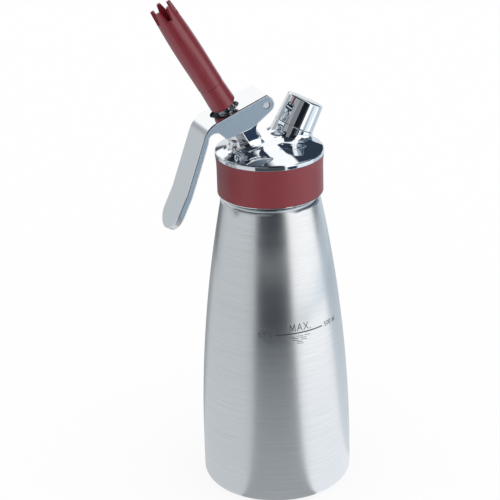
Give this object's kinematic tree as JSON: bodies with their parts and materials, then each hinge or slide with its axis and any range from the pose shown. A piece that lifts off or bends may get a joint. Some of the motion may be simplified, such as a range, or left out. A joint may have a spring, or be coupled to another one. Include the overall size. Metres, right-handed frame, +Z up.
{
  "type": "whipped cream dispenser",
  "caption": "Steel whipped cream dispenser with screw-on lever head, sprung valve, decorating tip and capped gas charger port.",
  "frame": {"origin": "middle of the ring that the bottle stands on, on the bottle's axis", "axes": "+Z up along the bottle, lever and tip towards -X, charger port towards +X, symmetrical about Y = 0"},
  "size_m": [0.1058, 0.084, 0.2872],
  "materials": {
    "brushed_stainless": "brushed round the bottle",
    "polished_chrome": "mirror polished",
    "polished_steel": "polished outside, brushed flanks",
    "steel_parts": "turned",
    "red_silicone": "matte",
    "red_plastic": "semi-gloss",
    "black_rubber": "matte",
    "brass_parts": "turned",
    "white_liner": "matte"
  },
  "bodies": {
    "bottle": {"bottle": "brushed_stainless"},
    "gasket": {"head_gasket": "black_rubber"},
    "head": {"head_casting": "polished_chrome", "head_grip_band": "red_silicone", "lever_pivot_pin": "steel_parts", "stem_guide_bush": "brass_parts", "stem_packing_ring": "black_rubber", "charger_seal": "black_rubber", "piercing_pin": "brass_parts", "gas_filter_disc": "brass_parts", "check_valve_disc": "black_rubber", "check_valve_retainer": "brass_parts"},
    "lever": {"lever": "polished_steel"},
    "valve": {"valve_stem": "steel_parts", "valve_foot": "steel_parts", "valve_seal_ring": "black_rubber", "stem_collar": "steel_parts", "valve_spring": "steel_parts"},
    "tip_seal": {"tip_seal_ring": "black_rubber"},
    "tip": {"tip_collar": "red_plastic", "tip_thread_insert": "steel_parts", "tulip_tip": "red_plastic"},
    "cap_liner": {"cap_liner": "white_liner"},
    "cap": {"protective_cap": "polished_chrome"}
  },
  "joints": [
    {"name": "head_lift", "type": "slide", "parent": "bottle", "child": "gasket", "axis": [0, 0, 1], "range_m": [0, 0.01101]},
    {"name": "head_turn", "type": "hinge", "parent": "gasket", "child": "head", "pos_m": [0, 0, 0], "axis": [0, 0, 1], "range_deg": [0, 990]},
    {"name": "lever_press", "type": "hinge", "parent": "head", "child": "lever", "pos_m": [-0.0054, 0, 0.2257], "axis": [0, -1, 0], "range_deg": [0, 14], "stiffness_Nm_per_rad": 0.93, "springref_deg": -10.89},
    {"name": "valve_press", "type": "slide", "parent": "head", "child": "valve", "axis": [0.4939, 0, -0.8695], "range_m": [0, 0.00431], "deforming": ["valve_spring"]},
    {"name": "tip_lift", "type": "slide", "parent": "valve", "child": "tip_seal", "axis": [-0.4939, 0, 0.8695], "range_m": [0, 0.006]},
    {"name": "tip_turn", "type": "hinge", "parent": "tip_seal", "child": "tip", "pos_m": [-0.0261, 0, 0.2266], "axis": [-0.4939, 0, 0.8695], "range_deg": [0, 1441]},
    {"name": "cap_lift", "type": "slide", "parent": "head", "child": "cap_liner", "axis": [0.4772, 0, 0.8788], "range_m": [0, 0.00675]},
    {"name": "cap_turn", "type": "hinge", "parent": "cap_liner", "child": "cap", "pos_m": [0.0107, 0, 0.2004], "axis": [0.4772, 0, 0.8788], "range_deg": [0, 1621]}
  ],
  "couplings": [
    {"joint": "head_lift", "follows": "head_turn", "m_per_rad": 0.00063662},
    {"joint": "valve_press", "follows": "lever_press", "m_per_rad": 0.0176},
    {"joint": "tip_turn", "follows": "tip_lift", "rad_per_m": 4188.8},
    {"joint": "cap_turn", "follows": "cap_lift", "rad_per_m": 4188.8}
  ]
}
